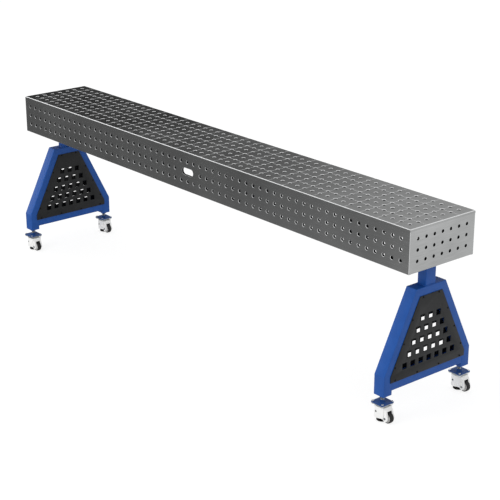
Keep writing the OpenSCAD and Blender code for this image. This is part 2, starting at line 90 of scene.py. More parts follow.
light_way = (0.4, 0.2, 0.89)
card_way = (-0.86, -0.42, 0.28)
sky = bpy.data.worlds.new("sky")
sky.use_nodes = True
sky.cycles.sampling_method = "NONE"
scene.world = sky
tree = sky.node_tree
tree.nodes.clear()
ray = add(tree, "LightPath")
direction = add(tree, "TexCoord").outputs["Generated"]
towards_light = add(tree, "VectorMath", {0: direction, 1: light_way}, operation="DOT_PRODUCT")
bright_side = add(tree, "MapRange", {
    "Value": towards_light.outputs["Value"], "From Min": 0.05, "From Max": 0.24,
    "To Min": 0.03, "To Max": 0.95}, interpolation_type="SMOOTHSTEP")
ceiling = add(tree, "MapRange", {
    "Value": add(tree, "SeparateXYZ", {"Vector": direction}).outputs["Z"],
    "From Min": 0.36, "From Max": 0.48, "To Max": 0.95}, interpolation_type="SMOOTHSTEP")
towards_card = add(tree, "VectorMath", {0: direction, 1: card_way}, operation="DOT_PRODUCT")
white_card = add(tree, "MapRange", {
    "Value": towards_card.outputs["Value"], "From Min": 0.9, "From Max": 0.97,
    "To Max": 2.2}, interpolation_type="SMOOTHSTEP")
above = add(tree, "Math", {0: bright_side, 1: ceiling}, operation="MAXIMUM")
mirrored_sky = add(tree, "Math", {0: above, 1: white_card}, operation="MAXIMUM")
seen_sky = add(tree, "MapRange", {
    "Value": ray.outputs["Is Camera Ray"], "To Min": 0.85, "To Max": 1})
strength = add(tree, "MixRGB", {
    "Fac": ray.outputs["Is Glossy Ray"], "Color1": seen_sky, "Color2": mirrored_sky})
add(tree, "OutputWorld", {"Surface": add(tree, "Background", {"Color": strength})})

lamp = bpy.data.objects.new("key_light", bpy.data.lights.new("key_light", "AREA"))
lamp.data.size = 4
lamp.data.energy = 130
lamp.location = (-0.5, -5.5, 3.8)
lamp_aim = Vector((0, 0, 0.6))
lamp.rotation_euler = (lamp_aim - lamp.location).to_track_quat("-Z", "Y").to_euler()
lamp.visible_glossy = False
scene.collection.objects.link(lamp)

brighter_way = (0.31, 0.25, 0)
floor_paint = bpy.data.materials.new("floor_paint")
floor_paint.use_nodes = True
floor_paint.cycles.emission_sampling = "NONE"
tree = floor_paint.node_tree
tree.nodes.clear()
ray = add(tree, "LightPath")
lit = add(tree, "BsdfDiffuse", {"Color": colour("#e8e8e8")})
blank = add(tree, "Emission", {"Color": (1, 1, 1, 1), "Strength": 1.22})
shadowed = add(tree, "MixShader", {"Fac": 0.65, 1: lit, 2: blank})
across_floor = add(tree, "VectorMath", {
    0: add(tree, "TexCoord").outputs["Object"], 1: brighter_way}, operation="DOT_PRODUCT")
mirrored_floor = add(tree, "Emission", {"Color": add(tree, "MapRange", {
    "Value": across_floor.outputs["Value"], "From Min": -1.3, "From Max": 1.5,
    "To Min": 0.24, "To Max": 1.1}, interpolation_type="SMOOTHSTEP")})
seen = add(tree, "MixShader", {"Fac": ray.outputs["Is Camera Ray"], 1: lit, 2: shadowed})
add(tree, "OutputMaterial", {"Surface": add(tree, "MixShader", {
    "Fac": ray.outputs["Is Glossy Ray"], 1: seen, 2: mirrored_floor})})

floor_mesh = bpy.data.meshes.new("floor")
floor_reach = 60
floor_mesh.from_pydata(
    [(x * floor_reach, y * floor_reach, 0) for x, y in ((-1, -1), (1, -1), (1, 1), (-1, 1))],
    [], [(0, 1, 2, 3)])
floor_mesh.materials.append(floor_paint)
floor = bpy.data.objects.new("floor", floor_mesh)
scene.collection.objects.link(floor)

# Beam plates: five mild steel plates, drilled on a 50 mm grid, welded into a box that is open
# below, and ground outside. Every hole has a chamfer, and a slot for the hands takes the place of
# three holes in the middle of each side.
hole_pitch = 50
hole_r = 8
top_chamfer = 2.5
side_chamfer = 1.5
corner_chamfer = 0.4
top_countersink = 1.8
side_countersink = 1.3
end_countersink = 0.5
slot_chamfer = 0.5
slot_length = 90
slot_height = 36
side_steps = 8
same_point = 0.002
sharp_angle = 32


def box_mm(node):
    """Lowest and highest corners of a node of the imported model, in millimetres."""
    return [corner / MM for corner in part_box(node)]


def surface(name):
    """A new material with an empty tree, and the place on its piece that patterns start from."""
    made = bpy.data.materials.new(name)
    made.use_nodes = True
    made.node_tree.nodes.clear()
    return made, made.node_tree, add(made.node_tree, "TexCoord").outputs["Object"]


def ground_steel(name, low, high, lengthwise, marked):
    """Mild steel, surface ground and wiped with oil: a satin grey mirror with grinding lines along
    the plate, drawn wider than real ones so that they show, and a cloudy film. The marked face
    has a grid etched every 100 mm through the holes, paler and duller than the steel round it."""
    line_length, line_width, cloud = 90, 2.5, 260
    made, tree, place = surface(name)
    long_way = Vector(lengthwise)
    stretch = [1 / MM / (line_length if way else line_width) for way in long_way]
    lines = add(tree, "TexNoise", {
        "Vector": add(tree, "Mapping", {"Vector": place, "Scale": stretch}),
        "Scale": 1, "Detail": 3})
    film = add(tree, "TexNoise", {"Vector": place, "Scale": 1 / MM / cloud, "Detail": 5})
    both = add(tree, "Math", {0: lines, 1: film}, operation="ADD")
    tone = add(tree, "MapRange", {"Value": both, "From Min": 0.7, "From Max": 1.3})
    steel = add(tree, "MixRGB", {"Fac": tone, "Color1": colour(low), "Color2": colour(high)})
    gloss = add(tree, "MapRange", {
        "Value": film, "From Min": 0.3, "From Max": 0.7, "To Min": 0.15, "To Max": 0.21})
    if marked:
        mark_pitch, mark_half, mark_blur = 100, 0.9, 0.4
        apart = add(tree, "SeparateXYZ", {"Vector": place})
        nearest = add(tree, "Math", {
            axis: add(tree, "Math", {
                0: apart.outputs[axis], 1: mark_pitch / 2 * MM}, operation="PINGPONG")
            for axis in (0, 1)}, operation="MINIMUM")
        etched = add(tree, "MapRange", {
            "Value": nearest, "From Min": mark_half * MM, "From Max": (mark_half + mark_blur) * MM,
            "To Min": 1, "To Max": 0})
        steel = add(tree, "MixRGB", {
            "Fac": etched, "Color1": steel, "Color2": colour("#c6c7c8")})
        gloss = add(tree, "MixRGB", {
            "Fac": etched, "Color1": gloss, "Color2": (0.62, 0.62, 0.62, 1)})
    bump = add(tree, "Bump", {"Strength": 0.05, "Distance": 0.2 * MM, "Height": lines})
    finish = add(tree, "BsdfPrincipled", {
        "Base Color": steel, "Metallic": 1, "Roughness": gloss, "Normal": bump})
    if marked:
        tree.links.new(add(tree, "Math", {0: 1, 1: etched}, operation="SUBTRACT").outputs[0],
                       finish.inputs["Metallic"])
    add(tree, "OutputMaterial", {"Surface": finish})
    return made


def drilled_steel(name, low, high, roughness):
    """Cut steel in the holes and chamfers, uneven from the drill's marks, which are drawn coarse
    enough to show. Used bright on the chamfers, and dark inside the holes as painted shade."""
    mark = 0.8
    made, tree, place = surface(name)
    marks = add(tree, "TexNoise", {"Vector": place, "Scale": 1 / MM / mark, "Detail": 2})
    shade = add(tree, "MixRGB", {"Fac": marks, "Color1": colour(low), "Color2": colour(high)})
    add(tree, "OutputMaterial", {"Surface": add(tree, "BsdfPrincipled", {
        "Base Color": shade, "Metallic": 1, "Roughness": roughness,
        "Normal": add(tree, "Bump", {
            "Strength": 0.1, "Distance": 0.1 * MM, "Height": marks})})})
    return made


def mill_scale(name):
    """Hot-rolled plate: a dull blue-grey skin of scale in hand-sized clouds, browner where thin."""
    cloud, grain = 70, 1.5
    made, tree, place = surface(name)
    clouds = add(tree, "TexNoise", {"Vector": place, "Scale": 1 / MM / cloud, "Detail": 6})
    grit = add(tree, "TexNoise", {"Vector": place, "Scale": 1 / MM / grain, "Detail": 2})
    shade = add(tree, "MixRGB", {
        "Fac": add(tree, "MapRange", {"Value": clouds, "From Min": 0.35, "From Max": 0.65}),
        "Color1": colour("#4a4c50"), "Color2": colour("#6f6a66")})
    add(tree, "OutputMaterial", {"Surface": add(tree, "BsdfPrincipled", {
        "Base Color": shade, "Metallic": 0.8, "Roughness": 0.55,
        "Normal": add(tree, "Bump", {"Strength": 0.2, "Distance": 0.2 * MM, "Height": grit})})})
    return made


def skin(shape, rings, caps=True, closed=False, finish=0):
    """Faces between rings of points, with caps on the first and last ring, or closed into a tube.
    finish is the material's number, or one number for each band."""
    rows = [[shape.verts.new(point) for point in ring] for ring in rings]
    bands = list(zip(rows, rows[1:])) + [(rows[-1], rows[0])] * closed
    for number, (here, there) in enumerate(bands):
        for i in range(len(here)):
            face = shape.faces.new((here[i - 1], here[i], there[i], there[i - 1]))
            face.material_index = finish if isinstance(finish, int) else finish[number]
    if caps and not closed:
        shape.faces.new(rows[0][::-1])
        shape.faces.new(rows[-1])


def piece(name, shape, body, slot, *materials, stands_for=None):
    """Makes a shape in millimetres into a named piece that rides on a body, and stands for a
    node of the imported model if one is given."""
    bmesh.ops.remove_doubles(shape, verts=shape.verts, dist=same_point)
    bmesh.ops.recalc_face_normals(shape, faces=shape.faces)
    shape.transform(Matrix.Scale(MM, 4))
    mesh = bpy.data.meshes.new(name)
    shape.to_mesh(mesh)
    shape.free()
    for material in materials:
        mesh.materials.append(material)
    mesh.shade_smooth()
    mesh.set_sharp_from_angle(angle=radians(sharp_angle))
    made = bpy.data.objects.new(name, mesh)
    scene.collection.objects.link(made)
    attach(made, body)
    if stands_for:
        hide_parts(stands_for)


def cell_ring(u, v, w, steps_u):
    """Points round a rectangle of the grid, from its low corner."""
    (u0, u1), (v0, v1) = u, v
    sides = [((u0, v0), (u1, v0), steps_u), ((u1, v0), (u1, v1), side_steps),
             ((u1, v1), (u0, v1), steps_u), ((u0, v1), (u0, v0), side_steps)]
    return [(a[0] + (b[0] - a[0]) * i / steps, a[1] + (b[1] - a[1]) * i / steps, w)
            for a, b, steps in sides for i in range(steps)]


def hole_ring(u, v, r, w):
    """Points round a hole, from the direction of its cell's low corner."""
    count = 4 * side_steps
    angles = [radians(225 + 360 * i / count) for i in range(count)]
    return [(u + r * cos(a), v + r * sin(a), w) for a in angles]


def slot_ring(grow, w):
    """Points round the hand slot, as many as round the three holes' cells that it takes, from the
    direction of their low corner."""
    r = slot_height / 2 + grow
    half = (slot_length - slot_height) / 2
    bend = int(2.5 * side_steps)
    run = (8 * side_steps - 2 * bend) // 2
    points = []
    for side in (1, -1):
        points += [(side * (2 * half * i / run - half), -side * r) for i in range(run)]
        points += [(side * (half + r * sin(pi * i / bend)),
                    -side * r * cos(pi * i / bend)) for i in range(bend)]
    start = (3 * side_steps - run) // 2
    points = points[-start:] + points[:-start]
    return [(x, y, w) for x, y in points]


def plate(u_range, v_range, chamfers, holes_v, countersink, with_slot=False):
    """A drilled plate with its outer face up at w = 0. chamfers are those of its low u, high u,
    low v and high v edges. Its materials are the outer face, chamfers, bores, inner face and rim."""
    def stops(span, centres, low, high):
        inner = [(a + b) / 2 for a, b in zip(centres, centres[1:])]
        return [span[0] + low, *inner, span[1] - high]

    count_u = round((u_range[1] - u_range[0]) / hole_pitch) - 1
    centres_u = [(i - (count_u - 1) / 2) * hole_pitch for i in range(count_u)]
    centres_v = [(i - (holes_v - 1) / 2) * hole_pitch for i in range(holes_v)]
    face_u = stops(u_range, centres_u, chamfers[0], chamfers[1])
    face_v = stops(v_range, centres_v, chamfers[2], chamfers[3])
    back_u = stops(u_range, centres_u, 0, 0)
    back_v = stops(v_range, centres_v, 0, 0)
    shape = bmesh.new()
    for i, u in enumerate(centres_u):
        for j, v in enumerate(centres_v):
            if with_slot and j == holes_v // 2 and abs(u) <= hole_pitch:
                continue
            depth = [(hole_r + countersink, 0), (hole_r, -countersink), (hole_r, -plate_t)]
            skin(shape, [
                cell_ring(face_u[i:i + 2], face_v[j:j + 2], 0, side_steps),
                *(hole_ring(u, v, r, w) for r, w in depth),
                cell_ring(back_u[i:i + 2], back_v[j:j + 2], -plate_t, side_steps),
            ], caps=False, finish=(0, 1, 2, 3))
    if with_slot:
        i, j = count_u // 2, holes_v // 2
        span_u = (face_u[i - 1], face_u[i + 2])
        depth = [(slot_chamfer, 0), (0, -slot_chamfer), (0, -plate_t)]
        skin(shape, [
            cell_ring(span_u, face_v[j:j + 2], 0, 3 * side_steps),
            *(slot_ring(grow, w) for grow, w in depth),
            cell_ring(span_u, back_v[j:j + 2], -plate_t, 3 * side_steps),
        ], caps=False, finish=(0, 1, 2, 3))

    def rim(stops_u, stops_v, w):
        corners = [(u, stops_v[0]) for u in stops_u] + [(stops_u[-1], v) for v in stops_v[1:]]
        corners += [(u, stops_v[-1]) for u in stops_u[-2::-1]]
        corners += [(stops_u[0], v) for v in stops_v[-2:0:-1]]
        return [(a[0] + (b[0] - a[0]) * k / side_steps, a[1] + (b[1] - a[1]) * k / side_steps, w)
                for a, b in zip(corners, corners[1:] + corners[:1]) for k in range(side_steps)]

    skin(shape, [rim(face_u, face_v, 0), rim(back_u, back_v, -max(chamfers)),
                 rim(back_u, back_v, -plate_t)], caps=False, finish=(1, 4))
    return shape


def stand(shape, u_axis, v_axis, origin):
    """Turns a plate so that its u and v run along two axes of the frame, from an origin."""
    axes = [Vector(u_axis), Vector(v_axis), Vector(u_axis).cross(Vector(v_axis))]
    shape.transform(Matrix.Translation(origin) @ Matrix(axes).transposed().to_4x4())
    return shape


top_low, top_high = box_mm("top_plate")
side_low, side_high = box_mm("front_side_plate")
end_low, end_high = box_mm("right_end_plate")
plate_t = top_high.z - top_low.z
half_length, half_width = top_high.x, top_high.y
hole_z = (side_low.z + top_high.z) / 2
side_span = (side_low.z - hole_z, side_high.z - hole_z)

top_steel = ground_steel("ground_steel_top", "#8e8f8f", "#a4a5a5", (1, 0, 0), True)
side_steel = ground_steel("ground_steel_side", "#8b8c8c", "#a0a1a1", (1, 0, 0), False)
end_steel = ground_steel("ground_steel_end", "#949595", "#a9aaaa", (0, 1, 0), False)
cut_steel = drilled_steel("chamfered_steel", "#d4d5d5", "#ecedee", 0.33)
# Painted shade: the bores are coloured dark to stand in for the shade inside the holes.
bore_shade_steel = drilled_steel("bore_painted_shade", "#3a3b3c", "#505152", 0.5)
scale_steel = mill_scale("mill_scale")

piece("perforated_top", stand(
    plate((-half_length, half_length), (-half_width, half_width), [top_chamfer] * 4, 7,
          top_countersink), (1, 0, 0), (0, 1, 0), (0, 0, top_high.z)),
    "trestle_frame", "beam_steel", top_steel, cut_steel, bore_shade_steel, scale_steel, side_steel,
    stands_for="top_plate")
for name, way in (("front", -1), ("rear", 1)):
    piece(f"perforated_{name}_side", stand(
        plate((-half_length, half_length), side_span,
              [corner_chamfer, corner_chamfer, side_chamfer, 0], 3, side_countersink,
              with_slot=True),
        (-way, 0, 0), (0, 0, 1), (0, way * half_width, hole_z)),
        "trestle_frame", "beam_steel", side_steel, cut_steel, bore_shade_steel, scale_steel, end_steel,
        stands_for=f"{name}_side_plate")
for name, way in (("left", -1), ("right", 1)):
    piece(f"perforated_{name}_end", stand(
        plate((end_low.y, end_high.y), side_span, [0, 0, side_chamfer, 0], 3, end_countersink),
        (0, way, 0), (0, 0, 1), (way * half_length, 0, hole_z)),
        "trestle_frame", "beam_steel", end_steel, cut_steel, bore_shade_steel, scale_steel, end_steel,
        stands_for=f"{name}_end_plate")

# Inside of the beam: hot-rolled ribs and saddle plates, welded in and left with their mill scale.
# Two bolted flanges carry the beam on the posts, with zinc-plated bolts, nuts and rolled threads.
bolt_r = 6
bolt_flats = 19.2
bolt_pitch = 1.75
nut_share = 1.6
chamfer_share = 0.48


def dress(node, material):
    """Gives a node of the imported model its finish."""
    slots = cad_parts[node].data.materials
    slots.clear()
    slots.append(material)


def zinc_plate(name, low, high):
    """Zinc plating, blue passivated, or turned steel in its darker greys: a satin metal, faintly
    blotched."""
    blotch = 6
    made, tree, place = surface(name)
    blotches = add(tree, "TexNoise", {"Vector": place, "Scale": 1 / MM / blotch, "Detail": 4})
    shade = add(tree, "MixRGB", {"Fac": blotches, "Color1": colour(low), "Color2": colour(high)})
    gloss = add(tree, "MapRange", {"Value": blotches, "To Min": 0.22, "To Max": 0.42})
    add(tree, "OutputMaterial", {"Surface": add(tree, "BsdfPrincipled", {
        "Base Color": shade, "Metallic": 1, "Roughness": gloss})})
    return made


def turned(profile, steps=48):
    """Rings of a lathe-turned form, from its profile of (radius, height)."""
    angles = [2 * pi * i / steps for i in range(steps)]
    return [[(r * cos(a), r * sin(a), z) for a in angles] for r, z in profile]


def hexagon_ring(across, z, fall=0, steps=36):
    """A ring round a hexagon, falling towards its corners as a chamfered nut's edge does."""
    ring = []
    for i in range(steps):
        angle = 2 * pi * i / steps
        off_flat = (angle + pi / 6) % (pi / 3) - pi / 6
        r = across / 2 / cos(off_flat)
        drop = fall * (r - chamfer_share * across)
        ring.append((r * cos(angle), r * sin(angle), z - drop))
    return ring


def moved(rings, at):
    """Rings carried to another place by a matrix."""
    return [[at @ Vector(point) for point in ring] for ring in rings]


def hexagon_head(shape, across, low, high, at, bore=0):
    """A bolt head, or a nut if it has a bore, with both ends chamfered at 30 degrees."""
    slope = tan(radians(30))
    round_r = chamfer_share * across
    rings = [*turned([(round_r, low)], 36), hexagon_ring(across, low, -slope),
             hexagon_ring(across, high, slope), *turned([(round_r, high)], 36)]
    if bore:
        rings = [*turned([(bore, low)], 36), *rings, *turned([(bore, high)], 36)]
    skin(shape, moved(rings, at), closed=bool(bore))


def threaded_rod(shape, r, pitch, low, high, at=Matrix.Identity(4), thread_low=None, steps=24):
    """A rod with a rolled thread from thread_low up, whose crest climbs one pitch each turn."""
    thread_low = low if thread_low is None else thread_low
    depth, per_pitch = 0.55 * pitch, 6
    tip_r = r - 1.5 * depth
    rings = turned([(r - depth, low), (r, low + depth)] if thread_low > low else [(tip_r, low)],
                   steps)
    for i in range(int((high - thread_low) / pitch * per_pitch)):
        z = thread_low + (i + 1) * pitch / per_pitch
        ring = []
        for k in range(steps):
            phase = ((i + 1) / per_pitch - k / steps) % 1
            reach, turn = r - depth * abs(2 * phase - 1), 2 * pi * k / steps
            ring.append((reach * cos(turn), reach * sin(turn), z))
        rings.append(ring)
    rings += turned([(tip_r, high)], steps)
    skin(shape, moved(rings, at))


zinc = zinc_plate("zinc_plating", "#d6dade", "#f0f2f2")
for node in ("cross_ribs", "saddle_plates"):
    dress(node, scale_steel)

flange_low = box_mm("post_flanges")[0]
saddle_high = box_mm("saddle_plates")[1].z
bolt_low, bolt_high = box_mm("saddle_bolts")
panels_low, panels_high = box_mm("left_panels")
trestle_x = (panels_low.x + panels_high.x) / -2
bolt_x = bolt_high.x - trestle_x - bolt_flats / 2 / cos(radians(30))
bolt_y = bolt_high.y - bolt_flats / 2
shape = bmesh.new()
for side in (-1, 1):
    for x in (-bolt_x, bolt_x):
        for y in (-bolt_y, bolt_y):
            at = Matrix.Translation((side * trestle_x + x, y, 0))
            hexagon_head(shape, bolt_flats, bolt_low.z, flange_low.z, at)
            nut_high = saddle_high + nut_share * bolt_r
            hexagon_head(shape, bolt_flats, saddle_high, nut_high, at, bolt_r)
            threaded_rod(shape, bolt_r, bolt_pitch, flange_low.z, bolt_high.z, at, saddle_high)
piece("hexagon_bolts", shape, "trestle_frame", "zinc_fasteners", zinc, stands_for="saddle_bolts")

# Trestle frames: square steel tube with rounded corners, mitred, welded and ground flush, then
# powder coated blue. The post stands on the top rail in a bead of weld, and its flange is bolted
# up inside the beam.
tube_round = 2
tube_wall = 3
tube_width = 50
bead_r = 2.4
seam_half = 25


def powder_coat(name, low, high, roughness, peel=1.4, peel_depth=0.12):
    """Baked powder coat on steel or cast metal: an even colour under the faint dimples of orange
    peel, with a soft sheen that varies slightly from place to place."""
    drift = 45
    made, tree, place = surface(name)
    wander = add(tree, "TexNoise", {"Vector": place, "Scale": 1 / MM / drift, "Detail": 4})
    dimples = add(tree, "TexNoise", {"Vector": place, "Scale": 1 / MM / peel, "Detail": 2})
    shade = add(tree, "MixRGB", {
        "Fac": add(tree, "MapRange", {"Value": wander, "From Min": 0.3, "From Max": 0.7}),
        "Color1": colour(low), "Color2": colour(high)})
    sheen = add(tree, "MapRange", {
        "Value": dimples, "To Min": roughness - 0.08, "To Max": roughness + 0.08})
    add(tree, "OutputMaterial", {"Surface": add(tree, "BsdfPrincipled", {
        "Base Color": shade, "Roughness": sheen, "Specular IOR Level": 0.25,
        "Normal": add(tree, "Bump", {
            "Strength": 0.5, "Distance": peel_depth * MM, "Height": dimples})})})
    return made


def rounded(corners, inset=0, steps=5):
    """Points round a convex outline whose corners are (x, y, radius), moved inwards by inset."""
    points = []
    for i in range(len(corners)):
        before, here, after = (Vector(corners[(i + k) % len(corners)][:2]) for k in (-1, 0, 1))
        arrive, leave = (here - before).normalized(), (after - here).normalized()
        into, out = Vector((-arrive.y, arrive.x)), Vector((-leave.y, leave.x))
        here = here + (into + out) * inset / (1 + into.dot(out))
        r = max(corners[i][2] - inset, 0)
        bend = acos(max(-1, min(1, arrive.dot(leave))))
        centre = here - arrive * r * tan(bend / 2) + into * r
        points += [centre + Matrix.Rotation(bend * k / steps, 2) @ (-into * r)
                   for k in range(steps + 1)]
    return points


def oblong(x_low, x_high, y_low, y_high, r):
    """The four corners of a rectangle with rounded corners."""
    return [(x_low, y_low, r), (x_high, y_low, r), (x_high, y_high, r), (x_low, y_high, r)]


def tube(shape, ends, at):
    """A tube with rounded corners between two cuts, each an (outer, inner) pair of points in the
    frame's plane, with its wall open to see at both ends."""
    corners = oblong(-frame_depth / 2, frame_depth / 2, 0, tube_width, tube_round)

    def cut(outer, inner, inset):
        return [(x, *Vector(outer).lerp(Vector(inner), s / tube_width))
                for x, s in rounded(corners, inset)]

    a, b = ends
    skin(shape, moved([cut(*a, 0), cut(*b, 0), cut(*b, tube_wall), cut(*a, tube_wall)], at),
         closed=True)


def weld(shape, path, r, at=Matrix.Identity(4), closed=True):
    """A bead of weld along a path of closely set points, rippled by the welder's steps."""
    ripple, ripple_share = 5, 0.13
    count, rings = len(path), []
    for i, point in enumerate(path):
        ahead = path[(i + 1) % count] if closed else path[min(i + 1, count - 1)]
        along = (ahead - path[i - 1 if closed or i else 0]).normalized()
        side = along.cross(Vector((0, 0, 1) if abs(along.z) < 0.9 else (1, 0, 0))).normalized()
        up = side.cross(along)
        size = r * (1 + ripple_share * cos(2 * pi * i / ripple))
        rings.append([point + size * (side * cos(a) + up * sin(a))
                      for a in (pi * k / 4 for k in range(8))])
    skin(shape, moved(rings, at), closed=closed)


def stepped(points):
    """A closed path through points, with more points 1 mm apart."""
    path = []
    for a, b in zip(points, points[1:] + points[:1]):
        pieces = max(1, round((b - a).length))
        path += [a.lerp(b, k / pieces) for k in range(pieces)]
    return path


blue = powder_coat("blue_powder_coat", "#184c98", "#1d52a0", 0.42)
# The nuts and jack plates get a slightly darker, greyer blue than the frame.
blue_nut = powder_coat("blue_painted_nut", "#1f447f", "#264c88", 0.45)
leg_high = box_mm("left_side_legs")[1]
foot_low, foot_high = box_mm("left_foot_tubes")
rail_low, rail_high = box_mm("left_bottom_rail")
post_low, post_high = box_mm("left_post")
top_half = box_mm("left_top_rail")[1].y
frame_depth = rail_high.x - rail_low.x
lean = atan2(foot_high.y - top_half, leg_high.z - foot_high.z)


def top_corner(d):
    """The top corner of the frame's outline, moved inwards by d."""
    return Vector((top_half - d / cos(lean) + d * tan(lean), leg_high.z - d))


def knee_corner(d):
    """The bend between leg and foot, moved inwards by d."""
    rise = (foot_high.y - d - top_corner(d).x) / tan(lean)
    return Vector((foot_high.y - d, top_corner(d).y - rise))


def mitre(corner, way):
    """The cut through the tubes at a corner of the outline, on one side of the frame."""
    return [(way * corner(d).x, corner(d).y) for d in (0, tube_width)]


dress("post_flanges", blue)
half_x, half_y = (post_high.x - post_low.x) / 2, post_high.y
post_outline = oblong(-half_x, half_x, -half_y, half_y, tube_round)
for name, side in (("left", -1), ("right", 1)):
    at = Matrix.Translation((side * trestle_x, 0, 0))
    rail, legs, feet, sill, post = (bmesh.new() for _ in range(5))
    tube(rail, [mitre(top_corner, way) for way in (-1, 1)], at)
    for way in (-1, 1):
        foot = ((way * foot_high.y, foot_low.z), (way * (foot_high.y - tube_width), foot_low.z))
        tube(legs, (mitre(top_corner, way), mitre(knee_corner, way)), at)
        tube(feet, (mitre(knee_corner, way), foot), at)
        seam = [Vector((x, way * rail_high.y, rail_low.z)) for x in range(-seam_half, seam_half + 1)]
        weld(sill, seam, bead_r, at, closed=False)
    tube(sill, [((y, rail_low.z), (y, rail_high.z)) for y in (rail_low.y, rail_high.y)], at)
    skin(post, moved([[(*p, z) for p in rounded(post_outline, inset)] for z, inset in (
        (post_low.z, 0), (post_high.z, 0), (post_high.z, tube_wall), (post_low.z, tube_wall))],
        at), closed=True)
    weld(post, stepped([Vector((*p, post_low.z)) for p in rounded(post_outline)]), bead_r, at)
    for shape, called, node in ((rail, "head_rail", "top_rail"), (legs, "sloping_legs", "side_legs"),
                                (feet, "feet", "foot_tubes"), (sill, "sill_rail", "bottom_rail"),
                                (post, "welded_post", "post")):
        piece(f"{name}_{called}", shape, "trestle_frame", "blue_paint", blue,
              stands_for=f"{name}_{node}")

# Panels: black powder-coated sheet on both faces of each frame, laser cut with square holes and
# fixed with black button-head screws.
sheet_bevel = 0.5
window = 28
window_pitch = 50
window_round = 1
window_rows = 5
windows_in_top_row = 3
lowest_window = 116
panel_border = 37
screw_edge = 6.5
screw_head_r = 4.5
screw_socket = 3
top_screw = 0.75
slope_screws = (0.28, 0.58, 0.88)
bottom_screws = (0.3, 0.9)


def sheet(outlines, thickness, bevel):
    """A flat sheet lying round z = 0 with rounded edges: its outer edge first, then its holes."""
    curve = bpy.data.curves.new("sheet", "CURVE")
    curve.dimensions, curve.fill_mode = "2D", "BOTH"
    curve.extrude, curve.offset = thickness / 2 - bevel, -bevel
    curve.bevel_depth, curve.bevel_resolution = bevel, 1
    for outline in outlines:
        spline = curve.splines.new("POLY")
        spline.points.add(len(outline) - 1)
        spline.use_cyclic_u = True
        for point, (x, y) in zip(spline.points, outline):
            point.co = (x, y, 0, 1)
    holder = bpy.data.objects.new("sheet", curve)
    scene.collection.objects.link(holder)
    shape = bmesh.new()
    mesh = holder.to_mesh()
    shape.from_mesh(mesh)
    holder.to_mesh_clear()
    bpy.data.objects.remove(holder)
    bpy.data.curves.remove(curve)
    return shape


def window_outline(y, z):
    """A square window with rounded corners, wound clockwise as a hole is."""
    half = window / 2
    return rounded(oblong(y - half, y + half, z - half, z + half, window_round), steps=2)[::-1]


def socket_head(shape, r, h, socket, at):
    """A button head with a hexagon socket, standing up from z = 0. Its wall, flat crown and
    socket's floor are shares of its size."""
    steps, wall, crown, socket_floor = 24, 0.2, 0.6, 0.35
    dome = [(r, 0), (r, wall * h)]
    dome += [(r * (crown + (1 - crown) * cos(a)), h * (wall + (1 - wall) * sin(a)))
             for a in (pi / 2 * k / 5 for k in range(1, 6))]
    rings = turned(dome, steps)
    rings += [hexagon_ring(socket, z, steps=steps) for z in (h, socket_floor * h)]
    skin(shape, moved(rings, at))


panel_black = powder_coat("black_powder_coat", "#1c1d1e", "#242526", 0.5, peel=1, peel_depth=0.1)
# Black zinc plating: a dark satin metal, shinier than the coat round it.
screw_black = zinc_plate("black_zinc", "#17181a", "#2a2b2d")
panel_t = (panels_high.x - panels_low.x - frame_depth) / 2
screw_face = frame_depth / 2 + panel_t
high, low = top_corner(panel_border), knee_corner(panel_border)
half_outline = [(high.x, high.y), (low.x, low.y), (low.x, rail_low.z + panel_border)]
panel_edge = [(-y, z, 0) for y, z in half_outline] + [(y, z, 0) for y, z in half_outline[::-1]]
windows = []
for row in range(window_rows):
    count = windows_in_top_row + window_rows - 1 - row
    z = foot_low.z + lowest_window + row * window_pitch
    windows += [window_outline((i - (count - 1) / 2) * window_pitch, z) for i in range(count)]

in_from_edge = panel_border + screw_edge
high, low = top_corner(in_from_edge), knee_corner(in_from_edge)
half_screws = [(high.x * top_screw, high.y)]
half_screws += [tuple(high.lerp(low, t)) for t in slope_screws]
half_screws += [(low.x * t, rail_low.z + in_from_edge) for t in bottom_screws]
screw_points = [(way * y, z) for y, z in half_screws for way in (-1, 1)]

for name, side in (("left", -1), ("right", 1)):
    panels = bmesh.new()
    for face in (-1, 1):
        one = sheet([rounded(panel_edge, steps=1)] + windows, panel_t, sheet_bevel)
        middle = side * trestle_x + face * (frame_depth + panel_t) / 2
        stand(one, (0, 1, 0), (0, 0, 1), (middle, 0, 0))
        kept = bpy.data.meshes.new("kept")
        one.to_mesh(kept)
        one.free()
        panels.from_mesh(kept)
        bpy.data.meshes.remove(kept)
    piece(f"{name}_sheet_panels", panels, "trestle_frame", "panel_black", panel_black,
          stands_for=f"{name}_panels")

screws = bmesh.new()
head_h = box_mm("panel_screws")[1].x - trestle_x - screw_face
for side in (-1, 1):
    for face in (-1, 1):
        for y, z in screw_points:
            at = Matrix.Translation((side * trestle_x + face * screw_face, y, z))
            socket_head(screws, screw_head_r, head_h, screw_socket,
                        at @ Matrix.Rotation(face * pi / 2, 4, "Y"))
piece("button_head_screws", screws, "trestle_frame", "black_screws", screw_black,
      stands_for="panel_screws")

# Foot ends: a threaded steel plug fills each foot, and a lock nut below it, painted with the frame,
# holds the castor's spindle at its height.
nut_flats = 27
spindle_r = 8
spindle_pitch = 2
fit = 0.05
foot_y = foot_high.y - tube_width / 2
corners = {f"{side}_{end}": Matrix.Translation((x * trestle_x, y * foot_y, 0))
           for side, x in (("left", -1), ("right", 1)) for end, y in (("front", -1), ("rear", 1))}

dress("foot_plugs", scale_steel)
nut_low, nut_high = box_mm("lock_nuts")
nuts = bmesh.new()
for at in corners.values():
    hexagon_head(nuts, nut_flats, nut_low.z, nut_high.z, at, spindle_r + fit)
piece("hexagon_lock_nuts", nuts, "trestle_frame", "blue_paint", blue_nut, stands_for="lock_nuts")

